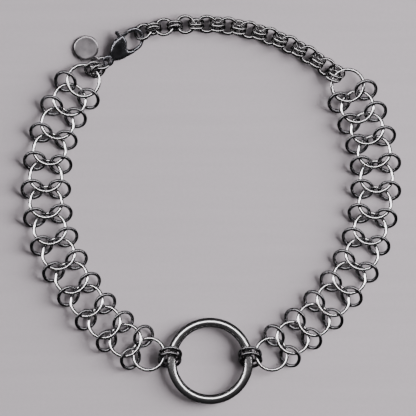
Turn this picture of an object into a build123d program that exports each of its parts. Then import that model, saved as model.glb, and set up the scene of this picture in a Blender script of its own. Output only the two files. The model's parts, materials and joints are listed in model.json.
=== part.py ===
from build123d import *
import math
import os

# Chain choker lying flat: +X right, +Y towards the clasp, +Z up, millimetres.

# Strap rings: wide middle rings and small edge rings of the same wire
strap_link_od = 13.1
edge_link_od = 8.9
strap_wire = 1.25
step_share = 0.45465        # middle ring spacing, as a share of the two diameters
edge_overlap = 2.24         # how deep an edge ring reaches into a middle ring, in wires
crossing_rise = 1.8         # height between crossing wires, in wires

# Centre ring
centre_ring_od = 32.0
centre_ring_wire = 3.5
centre_ring_y = -56.3
connector_od = 8.9
connector_play = 0.73
connector_lean = 1.22       # room in a leaning connector, as a share of the two wires
connector_bite = 2.03
connector_drop = 0.12       # how far the centre ring hangs below its connectors' centres

# Extension chain: one wide ring, then two small ones, then a wide one
chain_link_od = 7.35
pair_link_od = 6.1
chain_wire = 1.2
chain_step = 7.9
chain_bulge = 0.119         # rise of the chain's arc, as a share of its chord
single_tilt = 22.0
pair_tilt = 52.0
pair_spread = 0.75          # offset of each ring of a pair, in wires

# Rings that join the straps to the clasp and to the chain
joining_link_od = 6.7
joining_tilt = 45.8

# Lobster clasp, measured from its eye along its length
clasp_length = 16.6
clasp_width = 8.35
clasp_thickness = 2.8
hook_thickness = 1.8
clasp_bevel = 0.4
clasp_angle = 36.3
clasp_roll = 12.0
eye_radius = 1.6
eye_wire = 1.1
lever_thickness = 1.3
slot_clearance = 0.1
pin_diameter = 0.9
pin_clearance = 0.05
hub_radius = 1.0
tip_gap = 0.15

# Round tag
tag_diameter = 9.2
tag_thickness = 1.0
tag_tilt = 5.0
lug_radius = 1.3
lug_wire = 0.8

# Centres of the middle rings from the clasp end to the front, in ring spacings,
# measured from the ring beside the centre ring
left_route = [
    (-2.39, 10.13), (-2.93, 9.41), (-3.38, 8.54), (-3.67, 7.58), (-3.81, 6.59), (-3.81, 5.62),
    (-3.66, 4.64), (-3.34, 3.71), (-2.86, 2.83), (-2.30, 1.97), (-1.64, 1.18), (-0.87, 0.51), (0.0, 0.0),
]
right_route = [
    (2.82, 9.94), (3.18, 9.15), (3.54, 8.35), (3.80, 7.49), (3.89, 6.56), (3.83, 5.60),
    (3.65, 4.64), (3.35, 3.70), (2.88, 2.83), (2.28, 2.01), (1.57, 1.27), (0.79, 0.61), (0.0, 0.0),
]

# Clasp outline and bowl, as shares of clasp_length and clasp_width
clasp_outline = [
    (0.085, 0.09), (0.17, 0.30), (0.30, 0.49), (0.41, 0.57), (0.54, 0.585), (0.68, 0.59), (0.80, 0.61),
    (0.89, 0.56), (0.955, 0.47), (0.985, 0.35), (1.0, 0.05), (0.95, -0.13), (0.86, -0.28), (0.76, -0.375),
    (0.66, -0.385), (0.55, -0.38), (0.44, -0.345), (0.30, -0.31), (0.19, -0.24), (0.085, -0.09),
]
bowl_outline = [
    (0.62, 0.455), (0.535, 0.06), (0.505, -0.13), (0.56, -0.21), (0.67, -0.245), (0.78, -0.225),
    (0.86, -0.10), (0.895, 0.08), (0.893, 0.26), (0.85, 0.39), (0.76, 0.44),
]
pivot_share = (0.51, 0.43)
gate_start = 0.60
hook_tip = 0.742

strap_radius = (strap_link_od - strap_wire) / 2
edge_radius = (edge_link_od - strap_wire) / 2
centre_radius = (centre_ring_od - centre_ring_wire) / 2
connector_radius = (connector_od - strap_wire) / 2
chain_radius = (chain_link_od - chain_wire) / 2
pair_radius = (pair_link_od - chain_wire) / 2
joining_radius = (joining_link_od - chain_wire) / 2
link_step = step_share * (strap_link_od + edge_link_od)
link_reach = strap_radius + edge_radius - edge_overlap * strap_wire

os.makedirs("parts", exist_ok=True)


def leaning_plane(x, y, z, tilt, rise):
    """A plane tilted by tilt degrees, with its raised edge towards the heading rise."""
    lean = math.sin(math.radians(tilt))
    normal = Vector(
        -lean * math.cos(math.radians(rise)),
        -lean * math.sin(math.radians(rise)),
        math.cos(math.radians(tilt)),
    )
    return Plane(origin=(x, y, z), z_dir=normal)


def heading(start, end):
    return math.degrees(math.atan2(end[1] - start[1], end[0] - start[0]))


def moved(point, distance, direction):
    """The point at a distance from another, along a heading in degrees."""
    angle = math.radians(direction)
    return (point[0] + distance * math.cos(angle), point[1] + distance * math.sin(angle))


def save(part, name):
    part.label = name
    export_step(part, f"parts/{name}.step")


def save_link(name, plane, radius, wire):
    """One closed round ring."""
    with BuildPart(plane) as link:
        Torus(radius, wire / 2)
    save(link.part, name)


def save_links(name, planes, radius, wire):
    """Loose round rings of one size, kept together."""
    with BuildPart() as links:
        with Locations(*planes):
            Torus(radius, wire / 2)
    save(links.part, name)


def crossing_tilts(pitch, offset):
    """Tilts of a middle ring and an edge ring that lift their wires past each other."""
    apart = math.hypot(offset, pitch / 2)
    along = (apart**2 + strap_radius**2 - edge_radius**2) / (2 * apart)
    across = math.sqrt(max(strap_radius**2 - along**2, 0.01))
    outer = (along * pitch / 2 - across * offset) / apart
    inner = (along * pitch / 2 + across * offset) / apart
    rise = crossing_rise * strap_wire
    edge_back = pitch / 2 - outer
    edge_front = pitch / 2 - inner
    determinant = edge_back * inner - edge_front * outer
    edge_slope = rise * (inner + outer) / determinant
    link_slope = rise * (edge_back + edge_front) / determinant
    return math.degrees(math.atan(link_slope)), math.degrees(math.atan(edge_slope))


def strap(route):
    """Planes of a strap's middle rings and edge rings along its route."""
    cells = []
    for back, front in zip(route, route[1:]):
        pitch = math.dist(back, front)
        offset = math.sqrt(link_reach**2 - (pitch / 2) ** 2)
        cells.append((pitch, offset, *crossing_tilts(pitch, offset)))
    edge_tilt = max(cell[3] for cell in cells)
    height = edge_radius * math.sin(math.radians(edge_tilt)) + strap_wire / 2
    links = []
    for index, centre in enumerate(route):
        back = route[max(index - 1, 0)]
        front = route[min(index + 1, len(route) - 1)]
        near = cells[max(index - 1, 0) : index + 1]
        tilt = sum(cell[2] for cell in near) / len(near)
        links.append(leaning_plane(*centre, height, tilt, heading(back, front)))
    edges = []
    for back, front, (pitch, offset, link_tilt, tilt) in zip(route, route[1:], cells):
        course = heading(back, front)
        middle = moved(back, pitch / 2, course)
        for side in (-90, 90):
            centre = moved(middle, offset, course + side)
            edges.append(leaning_plane(*centre, height, tilt, course + 180))
    return links, edges, height


# Centre ring and the connectors that hold it to the straps
connector_sine = min(connector_lean * (centre_ring_wire + strap_wire) / 2 / connector_radius, 0.97)
connector_tilt = math.degrees(math.asin(connector_sine))
connector_z = connector_radius * connector_sine + strap_wire / 2
connector_reach = connector_radius - (centre_ring_wire + strap_wire) / 2 - connector_play
connector_rows = {}
for row, offset in (("upper", 1.967 * strap_wire), ("lower", 0.367 * strap_wire)):
    connector_x = math.sqrt(centre_radius**2 - offset**2) + connector_reach
    connector_rows[row] = (connector_x, centre_ring_y + offset)
strap_end_x = connector_rows["lower"][0] + connector_radius + strap_radius - connector_bite
strap_end_y = centre_ring_y + 2 * strap_wire
centre_ring_z = connector_z - connector_drop

save_link("centre_ring", Plane.XY.offset(centre_ring_z).move(Location((0, centre_ring_y, 0))), centre_radius,
          centre_ring_wire)
for side, sign in (("left", -1), ("right", 1)):
    for row, (x, y) in connector_rows.items():
        plane = leaning_plane(sign * x, y, connector_z, connector_tilt, 90)
        save_link(f"{side}_connector_{row}", plane, connector_radius, strap_wire)

# Straps
left_points = [(-strap_end_x + x * link_step, strap_end_y + y * link_step) for x, y in left_route]
right_points = [(strap_end_x + x * link_step, strap_end_y + y * link_step) for x, y in right_route]
first_links = {"left": (-0.28, -0.15, 0.18, 9.6, -106), "right": (0, 0, 0.39, 6.4, -63)}
for side, points, inward in (("left", left_points, -33.8), ("right", right_points, 213.8)):
    links, edges, strap_z = strap(points)
    shift_x, shift_y, lift, lean, rise = first_links[side]
    links[0] = leaning_plane(points[0][0] + shift_x, points[0][1] + shift_y, strap_z + lift, lean, rise)
    links[-1] = leaning_plane(*points[-1], strap_z - 0.06, 13.7, inward)
    for number, plane in enumerate(links, start=1):
        save_link(f"{side}_link_{number:02d}", plane, strap_radius, strap_wire)
    save_links(f"{side}_edge_links", edges, edge_radius, strap_wire)

# Links between the left strap and the clasp's eye
strap_end = left_points[0]
clasp_link = moved(strap_end, strap_radius + 1.124 * joining_radius, 44.11)
left_pair_low = moved(strap_end, strap_radius - 0.162 * joining_radius, 55.13)
left_pair_high = moved(strap_end, strap_radius + 0.045 * joining_radius, 35.19)
save_link("left_end_link_a", leaning_plane(*left_pair_low, 2.49, 39.8, 118), joining_radius, chain_wire)
save_link("left_end_link_b", leaning_plane(*left_pair_high, 3.10, 50.2, 125), joining_radius, chain_wire)
save_link("clasp_link", leaning_plane(*clasp_link, 2.69, 43.3, -79), joining_radius, chain_wire)

# Tag with a soldered lug that hangs on the clasp link
lug_centre = (clasp_link[0] - 0.742 * joining_radius, clasp_link[1] + 0.433 * joining_radius)
tag_centre = moved(lug_centre, tag_diameter / 2 + lug_radius - 0.07, 129.4)
tag_plane = leaning_plane(*tag_centre, tag_thickness / 2 + 0.45, tag_tilt, -50.6)
lug_plane = leaning_plane(*lug_centre, 1.33, 45.4, 33)
with BuildPart() as tag:
    with BuildSketch(tag_plane):
        Circle(tag_diameter / 2)
    extrude(amount=tag_thickness / 2, both=True)
    fillet(tag.edges(), tag_thickness / 5)
    with Locations(lug_plane):
        Torus(lug_radius, lug_wire / 2)
save(tag.part, "tag")

# Clasp body: an eye, a full body, and a hook round an open bowl
eye_centre = moved(clasp_link, 0.938 * joining_radius, 20.59)
roll = math.radians(clasp_roll)
turn = math.radians(clasp_angle)
clasp_plane = Plane(
    origin=(*eye_centre, clasp_thickness / 2 + 0.9),
    x_dir=(math.cos(turn), math.sin(turn), 0),
    z_dir=(math.sin(roll) * math.sin(turn), -math.sin(roll) * math.cos(turn), math.cos(roll)),
)
clasp_axis = Axis(clasp_plane.origin, clasp_plane.z_dir)
pivot = (pivot_share[0] * clasp_length, pivot_share[1] * clasp_width)
gate_u = gate_start * clasp_length
tip_u = hook_tip * clasp_length
gate_low = 0.40 * clasp_width
gate_high = 0.62 * clasp_width
hook_top = 0.59 * clasp_width
slot_height = lever_thickness + 2 * slot_clearance


def scaled(shares):
    return [(u * clasp_length, v * clasp_width) for u, v in shares]


def soften_clasp(part):
    """Bevel the rims of the highest and lowest faces."""
    chamfer(part.faces().sort_by(clasp_axis)[-1].edges(), clasp_bevel)
    chamfer(part.faces().sort_by(clasp_axis)[0].edges(), clasp_bevel)


clasp_edge = scaled(clasp_outline)
with BuildSketch(clasp_plane) as clasp_face:
    with BuildLine():
        Spline(*clasp_edge)
        Line(clasp_edge[-1], clasp_edge[0])
    make_face()
    with BuildLine():
        Spline(*scaled(bowl_outline), periodic=True)
    make_face(mode=Mode.SUBTRACT)
with BuildSketch(clasp_plane) as full_face:
    add(clasp_face.sketch_local)
    Rectangle(2 * gate_u, 2 * clasp_width, mode=Mode.INTERSECT)

with BuildPart() as clasp_body:
    extrude(clasp_face.sketch, amount=hook_thickness / 2, both=True)
    soften_clasp(clasp_body)
    extrude(full_face.sketch, amount=clasp_thickness / 2, both=True)
    soften_clasp(clasp_body)
    with BuildSketch(clasp_plane):
        with Locations(((gate_u + tip_u) / 2, gate_high)):
            Rectangle(tip_u - gate_u, 2 * (gate_high - gate_low))
    extrude(amount=clasp_thickness, both=True, mode=Mode.SUBTRACT)
    with BuildSketch(clasp_plane):
        with Locations(pivot):
            Circle(hub_radius + 2 * slot_clearance)
        with BuildLine():
            Polyline(
                (pivot[0] - hub_radius - 2 * slot_clearance, pivot[1]),
                (pivot[0] - hub_radius - 2 * slot_clearance, clasp_width),
                (gate_u + 0.8, clasp_width),
                (gate_u + 0.8, pivot[1] - 2.6 * hub_radius),
                (pivot[0] + 0.3, pivot[1] - hub_radius - 2 * slot_clearance),
                close=True,
            )
        make_face()
    extrude(amount=slot_height / 2, both=True, mode=Mode.SUBTRACT)
    with BuildSketch(clasp_plane):
        with Locations(pivot):
            Circle(pin_diameter / 2)
    extrude(amount=clasp_thickness / 2, both=True)
    with Locations(clasp_plane):
        Torus(eye_radius, eye_wire / 2)
save(clasp_body.part, "clasp_body")

# Lever: a hub on the clasp's pin, a gate arm and a thumb tab
arm_low = 0.465 * clasp_width
with BuildPart() as clasp_lever:
    with BuildSketch(clasp_plane):
        with Locations(pivot):
            Circle(hub_radius)
        with BuildLine():
            Polyline(
                (pivot[0], pivot[1] - 0.55 * hub_radius),
                (gate_u + 0.2, arm_low - 0.1),
                (tip_u - tip_gap, arm_low),
                (tip_u - tip_gap, hook_top),
                (pivot[0] + 0.2, hook_top),
                (pivot[0] - 0.5 * hub_radius, pivot[1]),
                close=True,
            )
        make_face()
        with Locations(pivot):
            Circle(tip_u - tip_gap - pivot[0], mode=Mode.INTERSECT)
        with BuildLine():
            Polyline(
                (pivot[0] - 0.55 * hub_radius, pivot[1]),
                (pivot[0] - 0.35 * hub_radius, pivot[1] + 2.9 * hub_radius),
                (pivot[0] + 0.85 * hub_radius, pivot[1] + 2.9 * hub_radius),
                (pivot[0] + 0.7 * hub_radius, pivot[1]),
                close=True,
            )
        make_face()
        with Locations((pivot[0] + 0.25 * hub_radius, pivot[1] + 2.9 * hub_radius)):
            Circle(0.75 * hub_radius)
        with Locations(pivot):
            Circle(pin_diameter / 2 + pin_clearance, mode=Mode.SUBTRACT)
    extrude(amount=lever_thickness / 2, both=True)
save(clasp_lever.part, "clasp_lever")

# Extension chain from the right strap to the last link in the clasp
bar_inner = 0.895 * clasp_length
end_u = bar_inner - chain_wire / 2 - 0.55 + chain_radius
end_vector = clasp_plane.from_local_coords(Vector(end_u, 0.12 * clasp_width, 0))
end_link = (end_vector.X, end_vector.Y)
save_link("end_link", leaning_plane(*end_link, end_vector.Z + 0.05, 39, -48), chain_radius, chain_wire)

chain_start = right_points[0]
first_single = moved(chain_start, strap_radius + 1.509 * chain_radius, 139.2)
chord = math.dist(first_single, end_link)
bulge = chain_bulge * chord
arc_radius = (chord**2 / 4 + bulge**2) / (2 * bulge)
half_angle = math.degrees(math.asin(chord / 2 / arc_radius))
chord_heading = heading(first_single, end_link)
chord_middle = moved(first_single, chord / 2, chord_heading)
arc_centre = moved(chord_middle, arc_radius - bulge, chord_heading + 90)
steps = round(math.radians(2 * half_angle) * arc_radius / chain_step)
chain_z = pair_radius * math.sin(math.radians(pair_tilt)) + chain_wire / 2
joining_z = joining_radius * math.sin(math.radians(joining_tilt)) + chain_wire / 2

# Offset from the arc, height above the chain's middle and shift along it (in wires) with the tilt
# of the rings beside the clasp, where the chain's lean turns over: one wide ring there lies flat
last_singles = {2: (0.02, 0.28, 0, 2.0, 0), 1: (0.03, 0.27, 0.05, 22.3, 180)}
last_pairs = {
    3: ((-0.68, 0.26, 0, 65.6, 180), (0.53, 0.27, 0, 66.6, 180)),
    2: ((-0.65, 0.32, 0, 70.2, 0), (0.53, 0.32, 0, 70.3, 0)),
    1: ((-0.30, 0.76, 0.085, 57.3, 0), (0.67, 0.19, 0.035, 57.3, 0)),
}
single_planes = []
pair_planes = []
for index in range(steps):
    left_over = steps - index
    outward = chord_heading - 90 - half_angle + 2 * half_angle * index / steps
    out, lift, along, tilt, turn = last_singles.get(left_over, (0, 0, 0, single_tilt, 0))
    centre = moved(arc_centre, arc_radius + out * chain_wire, outward)
    centre = moved(centre, along * chain_wire, outward + 90)
    single_planes.append(leaning_plane(*centre, chain_z + lift * chain_wire, tilt, outward + turn))
    pair_outward = outward + half_angle / steps
    ordinary = ((-pair_spread, 0, 0, pair_tilt, 180), (pair_spread, 0, 0, pair_tilt, 180))
    for out, lift, along, tilt, turn in last_pairs.get(left_over, ordinary):
        centre = moved(arc_centre, arc_radius + out * chain_wire, pair_outward)
        centre = moved(centre, along * chain_wire, pair_outward + 90)
        pair_planes.append(leaning_plane(*centre, chain_z + lift * chain_wire, tilt, pair_outward + turn))
joining_planes = []
for distance, direction in ((0.193, 128.12), (0.178, 145.58)):
    pair_centre = moved(chain_start, strap_radius + distance * joining_radius, direction)
    joining_planes.append(leaning_plane(*pair_centre, joining_z, joining_tilt, 240))
with BuildPart() as extension_chain:
    for planes, radius in (
        (single_planes, chain_radius),
        (pair_planes, pair_radius),
        (joining_planes, joining_radius),
    ):
        with Locations(*planes):
            Torus(radius, chain_wire / 2)
save(extension_chain.part, "extension_chain")
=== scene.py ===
import bpy
import json
import math
import random
import numpy as np
from mathutils import Matrix, Vector


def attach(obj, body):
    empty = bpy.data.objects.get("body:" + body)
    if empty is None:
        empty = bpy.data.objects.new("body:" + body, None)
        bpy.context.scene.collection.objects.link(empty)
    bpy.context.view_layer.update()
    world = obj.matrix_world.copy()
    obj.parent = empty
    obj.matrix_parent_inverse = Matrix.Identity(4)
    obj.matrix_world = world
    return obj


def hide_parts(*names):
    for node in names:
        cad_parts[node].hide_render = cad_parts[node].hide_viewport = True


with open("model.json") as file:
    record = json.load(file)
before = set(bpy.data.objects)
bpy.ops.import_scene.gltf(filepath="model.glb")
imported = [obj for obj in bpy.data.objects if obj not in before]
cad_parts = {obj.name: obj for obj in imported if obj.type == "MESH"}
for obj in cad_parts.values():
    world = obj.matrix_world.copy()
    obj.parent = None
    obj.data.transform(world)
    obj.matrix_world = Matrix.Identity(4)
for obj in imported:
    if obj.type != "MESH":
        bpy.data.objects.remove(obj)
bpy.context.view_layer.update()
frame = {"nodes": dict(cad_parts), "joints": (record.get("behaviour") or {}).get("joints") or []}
random.seed(7)

MM = 0.001

# Wire radii, a hair under the solids' so that the look stays in their box, and the rings' centre-line radii
STRAP_WIRE = 0.62 * MM
STRAP_RADIUS = 5.925 * MM
EDGE_RADIUS = 3.825 * MM
CONNECTOR_RADIUS = 3.825 * MM
CHAIN_WIRE = 0.595 * MM
SINGLE_RADIUS = 3.075 * MM
PAIR_RADIUS = 2.45 * MM
JOINING_RADIUS = 2.75 * MM
CENTRE_WIRE = 1.743 * MM
CENTRE_RADIUS = 14.25 * MM

# Points of a node's mesh that share a cell of this size are one point
MERGE_STEP = 1e-7

# Steps round each ring and round its wire
RING_STEPS, RING_SIDES = 84, 32
CENTRE_STEPS, CENTRE_SIDES = 200, 64
LUG_STEPS, LUG_SIDES = 64, 20

# Half the width of a jump ring's closed cut, and its depth as a share of the wire's radius
CUT_HALF = 0.03 * MM
CUT_DEPTH = 0.07

# Sections this many half widths from the cut's middle keep the wire's shading even beside it
CUT_GUARD = 2.5

# Noises, as scale, detail and stretch: the wire's lines in turns of ring and wire, all others in metres
CLOUD_NOISE = (420, 3)
FINE_NOISE = (5200, 4)
WIRE_LINE_NOISE = (30, 2, (0.03, 1.5, 1))
CAST_LINE_NOISE = (2600, 5, (1, 6, 1))
GRAIN_NOISE = (900, 4)
STREAK_NOISE = (260, 3, (0.06, 1, 1))

# How far fine wear changes a steel's roughness, and the height of its lines
FINE_ROUGHNESS = 0.003
LINE_HEIGHT = 0.004 * MM

# The clasp: its heading in degrees, and its outline and its hook's bowl as shares of its length and width
CLASP_LENGTH = 16.6 * MM
CLASP_WIDTH = 8.35 * MM
CLASP_HEADING = 36.3
CLASP_OUTLINE = [
    (0.085, 0.09), (0.17, 0.30), (0.30, 0.49), (0.41, 0.57), (0.54, 0.585), (0.68, 0.59), (0.80, 0.61),
    (0.89, 0.56), (0.955, 0.47), (0.985, 0.35), (1.0, 0.05), (0.95, -0.13), (0.86, -0.28), (0.76, -0.375),
    (0.66, -0.385), (0.55, -0.38), (0.44, -0.345), (0.30, -0.31), (0.19, -0.24), (0.085, -0.09),
]
CLASP_BOWL = [
    (0.62, 0.455), (0.535, 0.06), (0.505, -0.13), (0.56, -0.21), (0.67, -0.245), (0.78, -0.225),
    (0.86, -0.10), (0.895, 0.08), (0.893, 0.26), (0.85, 0.39), (0.76, 0.44),
]
PIVOT_SHARES = (0.51, 0.43)
LEVER_SLOT_HALF = 0.75 * MM
EYE_END = 1.6 * MM
DOME_REACH = 1.7 * MM
DOME_RIM_SHARE = 0.15
BODY_VOXEL = 0.14 * MM
BODY_SMOOTHING = 5
LEVER_VOXEL = 0.07 * MM
LEVER_SMOOTHING = 4

# The tag, with the profile of its face and rounded rim as radius and height in millimetres
TAG_CENTRE = Vector((-45.856, 59.495, 0.95)) * MM
TAG_UP = Vector((-0.05532, 0.06735, 0.99619))
TAG_STEPS = 128
TAG_PROFILE = [
    (0, 0.47), (2, 0.47), (3.6, 0.48), (4.05, 0.5), (4.2, 0.47), (4.35, 0.41), (4.5, 0.33), (4.57, 0.26),
    (4.6, 0.16), (4.6, 0.0),
]
LUG_CENTRE = Vector((-42.155, 54.99, 1.33)) * MM
LUG_AXIS = Vector((-0.59716, -0.3878, 0.70215))
LUG_RADIUS = 1.3 * MM
LUG_WIRE = 0.4 * MM

# The floor, just under the choker, of pale paper with a fine grain and faint streaks from left to right
FLOOR_HALF = 1.5
FLOOR_DROP = 0.05 * MM
PAPER_DARK = (0.592, 0.533, 0.573)
PAPER_LIGHT = (0.645, 0.583, 0.624)
PAPER_ROUGHNESS = 0.95
PAPER_GLOSS = 0.1

# Soft lamps for the floor and its shadows: place, width, length in metres, and power in watts
LAMPS = {
    "side": ((1.95, 0.35, 1.2), 1.6, 2.2, 132.0),
    "overhead": ((0.1, 0.15, 0.8), 1.1, 1.1, 0.7),
}

# The long lamp that the metal reflects: its lean from straight above towards +Y, its half width and its soft
# edge, all in degrees, and its strength
LAMP_LEAN = 26.5
LAMP_HALF = 2.0
LAMP_EDGE = 7.0
LAMP_STRENGTH = 11.0

# The dim sky's strength at the horizon and straight above, and what is added to it where the camera itself
# sees it: past the floor's edge, and at the bottom of low side views, which look in from under the floor
SKY_COLOR = (1.0, 0.985, 1.0, 1)
SKY_LOW, SKY_HIGH = 0.015, 0.03
STUDIO_TONE = 0.62

# The photo's frame: seen from above, without perspective
VIEW_WIDTH = 0.1539
VIEW_CENTRE = (-0.78 * MM, 0.28 * MM)
CAMERA_HEIGHT = 0.8
CAMERA_RANGE = (0.01, 10)


# Materials
def new_material(name, color, rough, metallic):
    material = bpy.data.materials.new(name)
    material.use_nodes = True
    tree = material.node_tree
    shader = tree.nodes["Principled BSDF"]
    shader.inputs["Base Color"].default_value = (*color, 1)
    shader.inputs["Roughness"].default_value = rough
    shader.inputs["Metallic"].default_value = metallic
    return material, tree, shader


def add_noise(tree, source, scale, detail, stretch=(1, 1, 1)):
    mapping = tree.nodes.new("ShaderNodeMapping")
    mapping.inputs["Scale"].default_value = stretch
    tree.links.new(source, mapping.inputs["Vector"])
    noise = tree.nodes.new("ShaderNodeTexNoise")
    noise.inputs["Scale"].default_value = scale
    noise.inputs["Detail"].default_value = detail
    tree.links.new(mapping.outputs["Vector"], noise.inputs["Vector"])
    return noise.outputs["Fac"]


def spread(tree, source, low, high, start=0.3, end=0.7):
    """The source's values from start to end, spread from low to high."""
    ramp = tree.nodes.new("ShaderNodeMapRange")
    ramp.inputs["From Min"].default_value = start
    ramp.inputs["From Max"].default_value = end
    ramp.inputs["To Min"].default_value = low
    ramp.inputs["To Max"].default_value = high
    tree.links.new(source, ramp.inputs["Value"])
    return ramp.outputs["Result"]


def add_math(tree, operation, first, second):
    """A math node of two values, each a number or another node's output."""
    node = tree.nodes.new("ShaderNodeMath")
    node.operation = operation
    for socket, value in zip(node.inputs, (first, second)):
        if isinstance(value, float):
            socket.default_value = value
        else:
            tree.links.new(value, socket)
    return node.outputs[0]


def mix_color(tree, factor, dark, light):
    mix = tree.nodes.new("ShaderNodeMix")
    mix.data_type = "RGBA"
    mix.inputs["A"].default_value = (*dark, 1)
    mix.inputs["B"].default_value = (*light, 1)
    tree.links.new(factor, mix.inputs["Factor"])
    return mix.outputs["Result"]


def steel(name, dark, light, rough, bump, wire=True):
    """Steel with a cloudy tone, fine wear and low lines, which run along the wire of a ring."""
    material, tree, shader = new_material(name, light, rough[0], 1.0)
    coords = tree.nodes.new("ShaderNodeTexCoord")
    place = coords.outputs["Object"]
    cloud = add_noise(tree, place, *CLOUD_NOISE)
    tone = mix_color(tree, spread(tree, cloud, 0, 1), dark, light)
    tree.links.new(tone, shader.inputs["Base Color"])
    fine = add_noise(tree, place, *FINE_NOISE)
    wear = spread(tree, fine, -FINE_ROUGHNESS, FINE_ROUGHNESS)
    roughness = add_math(tree, "ADD", spread(tree, cloud, *rough), wear)
    tree.links.new(roughness, shader.inputs["Roughness"])
    if wire:
        lines = add_noise(tree, coords.outputs["UV"], *WIRE_LINE_NOISE)
    else:
        lines = add_noise(tree, place, *CAST_LINE_NOISE)
    height = tree.nodes.new("ShaderNodeBump")
    height.inputs["Strength"].default_value = bump
    height.inputs["Distance"].default_value = LINE_HEIGHT
    tree.links.new(lines, height.inputs["Height"])
    tree.links.new(height.outputs["Normal"], shader.inputs["Normal"])
    return material


def paper():
    """Pale paper with a fine grain and faint streaks."""
    material, tree, shader = new_material("paper", PAPER_LIGHT, PAPER_ROUGHNESS, 0.0)
    shader.inputs["Specular IOR Level"].default_value = PAPER_GLOSS
    place = tree.nodes.new("ShaderNodeTexCoord").outputs["Object"]
    grain = add_noise(tree, place, *GRAIN_NOISE)
    streaks = add_noise(tree, place, *STREAK_NOISE)
    tone = add_math(tree, "ADD", spread(tree, grain, 0, 0.5), spread(tree, streaks, 0, 0.5))
    tree.links.new(mix_color(tree, tone, PAPER_DARK, PAPER_LIGHT), shader.inputs["Base Color"])
    return material


# The straps' rings and the edge rings are one and the same steel: the straps' copy is painted lighter as
# painted highlight on their sides, and the edge rings' and connectors' copy is painted darker as painted
# shade that dulls their highlights
lit_strap_steel = steel("lit_strap_steel", (0.75, 0.73, 0.745), (0.83, 0.81, 0.825), (0.188, 0.194), 0.02)
shaded_edge_steel = steel("shaded_edge_steel", (0.235, 0.23, 0.24), (0.28, 0.275, 0.285), (0.188, 0.194), 0.02)
chain_steel = steel("chain_steel", (0.4, 0.39, 0.395), (0.46, 0.45, 0.455), (0.188, 0.194), 0.02)
centre_steel = steel("centre_steel", (0.66, 0.645, 0.655), (0.72, 0.705, 0.715), (0.245, 0.252), 0.02)
clasp_steel = steel("clasp_steel", (0.2, 0.2, 0.22), (0.32, 0.32, 0.35), (0.22, 0.3), 0.2, wire=False)
tag_steel = steel("tag_steel", (0.29, 0.27, 0.284), (0.365, 0.342, 0.358), (0.28, 0.33), 0.3, wire=False)


def dress(name, mesh, material, body):
    """Put the mesh in the place of the node of that name."""
    piece = bpy.data.objects.new(name + "_look", mesh)
    bpy.context.scene.collection.objects.link(piece)
    mesh.materials.append(material)
    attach(piece, body)
    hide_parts(name)


def shade_smooth(mesh):
    mesh.polygons.foreach_set("use_smooth", [True] * len(mesh.polygons))


# Rings
def loose_parts(obj):
    """Vertex positions of each loose part of a node, as arrays."""
    mesh = obj.data
    co = np.array([v.co for v in mesh.vertices], float)
    keys = {}
    merged = np.zeros(len(co), int)
    for i, c in enumerate(np.round(co / MERGE_STEP).astype(np.int64)):
        merged[i] = keys.setdefault(tuple(c), len(keys))
    root = list(range(len(keys)))

    def find(i):
        while root[i] != i:
            root[i] = root[root[i]]
            i = root[i]
        return i

    for e in mesh.edges:
        a = find(merged[e.vertices[0]])
        b = find(merged[e.vertices[1]])
        if a != b:
            root[a] = b
    groups = {}
    for i, m in enumerate(merged):
        groups.setdefault(find(m), {}).setdefault(m, co[i])
    return [np.array(list(group.values())) for group in groups.values()]


def ring_frame(points):
    """Centre, axis and outer radius of a ring from the points of its surface."""
    centre = points.mean(axis=0)
    for _ in range(3):
        _, _, axes = np.linalg.svd(points - centre, full_matrices=False)
        flat = (points - centre) @ axes[:2].T
        lows, highs = flat.min(axis=0), flat.max(axis=0)
        shift = (lows + highs) / 2
        along = (points - centre) @ axes[2]
        centre = centre + axes[:2].T @ shift + axes[2] * (along.min() + along.max()) / 2
    axis = axes[2] if axes[2][2] > 0 else -axes[2]
    return Vector(centre), Vector(axis), (highs - lows).mean() / 2


def ring_angles(radius, steps, cut):
    """Angles of a ring's sections, each with the share of the wire that the closed cut takes there."""
    angles = [2 * math.pi * i / steps for i in range(steps)]
    depths = [0.0] * steps
    if cut:
        half = CUT_HALF / radius
        angles = [-half * CUT_GUARD, -half, 0.0, half, half * CUT_GUARD] + angles[1:]
        depths = [0.0, 0.0, CUT_DEPTH, 0.0, 0.0] + depths[1:]
    return angles, depths


def ring_mesh(places, radii, wire, steps, sides, cut=True):
    """Round wire rings at the places, each with the nearest of the given radii, turned at random."""
    verts, faces, uvs = [], [], []
    for centre, axis, reach in places:
        radius = min(radii, key=lambda r: abs(r + wire - reach))
        side = axis.orthogonal().normalized()
        side = Matrix.Rotation(random.uniform(0, 2 * math.pi), 3, axis) @ side
        other = axis.cross(side)
        angles, depths = ring_angles(radius, steps, cut)
        base, count = len(verts), len(angles)
        for angle, depth in zip(angles, depths):
            out = side * math.cos(angle) + other * math.sin(angle)
            thick = wire * (1 - depth)
            for j in range(sides):
                turn = 2 * math.pi * j / sides
                outwards = out * (radius + thick * math.cos(turn))
                verts.append(centre + outwards + axis * (thick * math.sin(turn)))
        for i in range(count):
            i2 = (i + 1) % count
            here, there = base + i * sides, base + i2 * sides
            u0 = angles[i] / (2 * math.pi)
            u1 = angles[i2] / (2 * math.pi) + (1 if i2 == 0 else 0)
            for j in range(sides):
                j2 = (j + 1) % sides
                faces.append((here + j, there + j, there + j2, here + j2))
                v0, v1 = j / sides, (j + 1) / sides
                uvs += [(u0, v0), (u1, v0), (u1, v1), (u0, v1)]
    mesh = bpy.data.meshes.new("rings")
    mesh.from_pydata(verts, [], faces)
    layer = mesh.uv_layers.new(name="UVMap")
    for loop, uv in zip(layer.data, uvs):
        loop.uv = uv
    shade_smooth(mesh)
    mesh.update()
    return mesh


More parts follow.
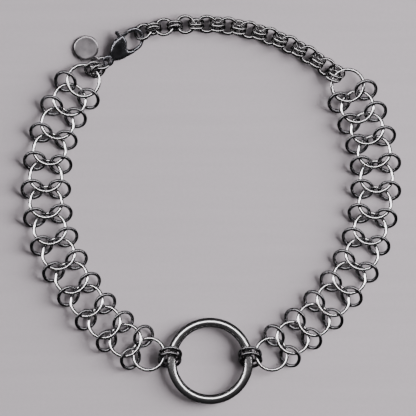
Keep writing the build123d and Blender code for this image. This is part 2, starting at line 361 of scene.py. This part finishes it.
NOT_RINGS = ("tag", "clasp_body", "clasp_lever")
RING_KINDS = {
    "centre_ring": ([CENTRE_RADIUS], CENTRE_WIRE, centre_steel),
    "extension_chain": ([SINGLE_RADIUS, PAIR_RADIUS, JOINING_RADIUS], CHAIN_WIRE, chain_steel),
    "end_link": ([SINGLE_RADIUS], CHAIN_WIRE, chain_steel),
    "clasp_link": ([JOINING_RADIUS], CHAIN_WIRE, chain_steel),
    "left_end_link_a": ([JOINING_RADIUS], CHAIN_WIRE, chain_steel),
    "left_end_link_b": ([JOINING_RADIUS], CHAIN_WIRE, chain_steel),
}


def ring_kind(node):
    """Radii, wire and steel of a node of rings."""
    if node in RING_KINDS:
        return RING_KINDS[node]
    # Edge rings and connectors take the copy of the steel painted darker as painted shade
    if "edge_links" in node:
        return [EDGE_RADIUS], STRAP_WIRE, shaded_edge_steel
    if "connector" in node:
        return [CONNECTOR_RADIUS], STRAP_WIRE, shaded_edge_steel
    return [STRAP_RADIUS], STRAP_WIRE, lit_strap_steel


for node, obj in frame["nodes"].items():
    if node in NOT_RINGS:
        continue
    radii, wire, material = ring_kind(node)
    places = [ring_frame(points) for points in loose_parts(obj)]
    if node == "centre_ring":
        mesh = ring_mesh(places, radii, wire, CENTRE_STEPS, CENTRE_SIDES, cut=False)
    else:
        mesh = ring_mesh(places, radii, wire, RING_STEPS, RING_SIDES)
    dress(node, mesh, material, "choker")


# Clasp
def cast_copy(node, voxel, smoothing):
    """The node's shape with cast, softly rounded edges."""
    source = bpy.data.objects.new("cast", frame["nodes"][node].data.copy())
    bpy.context.scene.collection.objects.link(source)
    remesh = source.modifiers.new("remesh", "REMESH")
    remesh.mode = "VOXEL"
    remesh.voxel_size = voxel
    remesh.use_smooth_shade = True
    smooth = source.modifiers.new("smooth", "SMOOTH")
    smooth.factor = 0.5
    smooth.iterations = smoothing
    depsgraph = bpy.context.evaluated_depsgraph_get()
    mesh = bpy.data.meshes.new_from_object(source.evaluated_get(depsgraph))
    bpy.data.objects.remove(source)
    mesh.materials.clear()
    shade_smooth(mesh)
    return mesh


def edge_distance(points, loop):
    """Distance of each flat point from a closed line."""
    best = np.full(len(points), np.inf)
    for a, b in zip(loop, loop[1:] + loop[:1]):
        a, b = np.array(a), np.array(b)
        t = np.clip((points - a) @ (b - a) / ((b - a) @ (b - a)), 0, 1)
        best = np.minimum(best, np.linalg.norm(points - a - t[:, None] * (b - a), axis=1))
    return best


def dome_faces(mesh):
    """Round the clasp body's flat faces down towards its outline and its bowl, but for the eye."""
    hinge = frame["joints"][0]
    up = -Vector(hinge["axis"]).normalized()
    heading = math.radians(CLASP_HEADING)
    along = Vector((math.cos(heading), math.sin(heading), 0))
    across = up.cross(along)
    pivot = Vector(hinge["pos_m"])
    origin = pivot - along * (PIVOT_SHARES[0] * CLASP_LENGTH) - across * (PIVOT_SHARES[1] * CLASP_WIDTH)
    co = np.empty(len(mesh.vertices) * 3)
    mesh.vertices.foreach_get("co", co)
    axes = np.array([along, across, up])
    local = (co.reshape(-1, 3) - np.array(origin)) @ axes.T
    rims = [[(u * CLASP_LENGTH, v * CLASP_WIDTH) for u, v in line] for line in (CLASP_OUTLINE, CLASP_BOWL)]
    depth = np.minimum(edge_distance(local[:, :2], rims[0]), edge_distance(local[:, :2], rims[1]))
    share = np.clip(depth / DOME_REACH, 0, 1)
    dome = DOME_RIM_SHARE + (1 - DOME_RIM_SHARE) * np.sqrt(1 - (1 - share) ** 2)
    height = np.abs(local[:, 2])
    inside = np.minimum(height, LEVER_SLOT_HALF)
    outside = np.maximum(height - LEVER_SLOT_HALF, 0)
    blade = local[:, 0] > EYE_END
    local[blade, 2] = (np.sign(local[:, 2]) * (inside + outside * dome))[blade]
    co = local @ axes + np.array(origin)
    mesh.vertices.foreach_set("co", co.ravel())
    mesh.update()


body_mesh = cast_copy("clasp_body", BODY_VOXEL, BODY_SMOOTHING)
dome_faces(body_mesh)
dress("clasp_body", body_mesh, clasp_steel, "choker")
lever_mesh = cast_copy("clasp_lever", LEVER_VOXEL, LEVER_SMOOTHING)
dress("clasp_lever", lever_mesh, clasp_steel, "lever")


# Tag
def tag_mesh():
    """The disc, turned from its profile, with its lug."""
    profile = TAG_PROFILE + [(r, -h) for r, h in TAG_PROFILE[-2::-1]]
    side = TAG_UP.orthogonal().normalized()
    other = TAG_UP.cross(side)
    verts = [TAG_CENTRE + TAG_UP * profile[0][1] * MM]
    for r, h in profile[1:-1]:
        for i in range(TAG_STEPS):
            a = 2 * math.pi * i / TAG_STEPS
            out = side * math.cos(a) + other * math.sin(a)
            verts.append(TAG_CENTRE + out * r * MM + TAG_UP * h * MM)
    verts.append(TAG_CENTRE + TAG_UP * profile[-1][1] * MM)
    last_row = 1 + (len(profile) - 3) * TAG_STEPS
    last = len(verts) - 1
    following = [(i + 1) % TAG_STEPS for i in range(TAG_STEPS)]
    faces = [(0, 1 + i, 1 + k) for i, k in enumerate(following)]
    for a in range(1, last_row, TAG_STEPS):
        b = a + TAG_STEPS
        faces += [(a + i, b + i, b + k, a + k) for i, k in enumerate(following)]
    faces += [(last_row + i, last, last_row + k) for i, k in enumerate(following)]
    lug_place = (LUG_CENTRE, LUG_AXIS, LUG_RADIUS + LUG_WIRE)
    lug = ring_mesh([lug_place], [LUG_RADIUS], LUG_WIRE, LUG_STEPS, LUG_SIDES, cut=False)
    base = len(verts)
    verts += [v.co.copy() for v in lug.vertices]
    faces += [tuple(base + i for i in p.vertices) for p in lug.polygons]
    mesh = bpy.data.meshes.new("tag")
    mesh.from_pydata(verts, [], faces)
    shade_smooth(mesh)
    mesh.update()
    bpy.data.meshes.remove(lug)
    return mesh


dress("tag", tag_mesh(), tag_steel, "choker")

# Floor
corners = [(-FLOOR_HALF, -FLOOR_HALF, 0), (FLOOR_HALF, -FLOOR_HALF, 0),
           (FLOOR_HALF, FLOOR_HALF, 0), (-FLOOR_HALF, FLOOR_HALF, 0)]
floor_mesh = bpy.data.meshes.new("floor")
floor_mesh.from_pydata(corners, [], [(0, 1, 2, 3)])
floor_mesh.materials.append(paper())
floor = bpy.data.objects.new("floor", floor_mesh)
bpy.context.scene.collection.objects.link(floor)
floor.location.z = -FLOOR_DROP
floor.visible_glossy = False


# Light
def area_lamp(name, place, width, length, power):
    """A soft lamp that points at the origin and isn't reflected."""
    data = bpy.data.lights.new(name, "AREA")
    data.shape = "RECTANGLE"
    data.size = width
    data.size_y = length
    data.energy = power
    lamp = bpy.data.objects.new(name, data)
    bpy.context.scene.collection.objects.link(lamp)
    lamp.location = place
    lamp.rotation_euler = (-Vector(place)).to_track_quat("-Z", "Y").to_euler()
    lamp.visible_glossy = False


def studio_sky():
    """A dim sky with a long lamp from left to right, and pale where the camera itself sees it."""
    world = bpy.data.worlds.new("studio")
    bpy.context.scene.world = world
    world.use_nodes = True
    tree = world.node_tree
    background = tree.nodes["Background"]
    direction = tree.nodes.new("ShaderNodeTexCoord").outputs["Generated"]
    split = tree.nodes.new("ShaderNodeSeparateXYZ")
    tree.links.new(direction, split.inputs["Vector"])
    lean = add_math(tree, "ARCTAN2", split.outputs["Y"], split.outputs["Z"])
    offset = add_math(tree, "ABSOLUTE", add_math(tree, "SUBTRACT", lean, math.radians(LAMP_LEAN)), 0.0)
    lamp = tree.nodes.new("ShaderNodeMapRange")
    lamp.interpolation_type = "SMOOTHSTEP"
    lamp.inputs["From Min"].default_value = math.radians(LAMP_HALF + LAMP_EDGE)
    lamp.inputs["From Max"].default_value = math.radians(LAMP_HALF)
    lamp.inputs["To Min"].default_value = 0.0
    lamp.inputs["To Max"].default_value = LAMP_STRENGTH
    tree.links.new(offset, lamp.inputs["Value"])
    dim = spread(tree, split.outputs["Z"], SKY_LOW, SKY_HIGH, 0.0, 1.0)
    seen = tree.nodes.new("ShaderNodeLightPath").outputs["Is Camera Ray"]
    pale = add_math(tree, "MULTIPLY", seen, STUDIO_TONE)
    glow = add_math(tree, "ADD", lamp.outputs["Result"], dim)
    tree.links.new(add_math(tree, "ADD", glow, pale), background.inputs["Strength"])
    background.inputs["Color"].default_value = SKY_COLOR
    world.cycles_visibility.diffuse = False


for name, settings in LAMPS.items():
    area_lamp(name, *settings)
studio_sky()

# Camera
camera_data = bpy.data.cameras.new("camera")
camera_data.type = "ORTHO"
camera_data.ortho_scale = VIEW_WIDTH
camera_data.clip_start, camera_data.clip_end = CAMERA_RANGE
camera = bpy.data.objects.new("camera", camera_data)
bpy.context.scene.collection.objects.link(camera)
camera.location = (*VIEW_CENTRE, CAMERA_HEIGHT)
camera.rotation_euler = (0, 0, 0)
bpy.context.scene.camera = camera
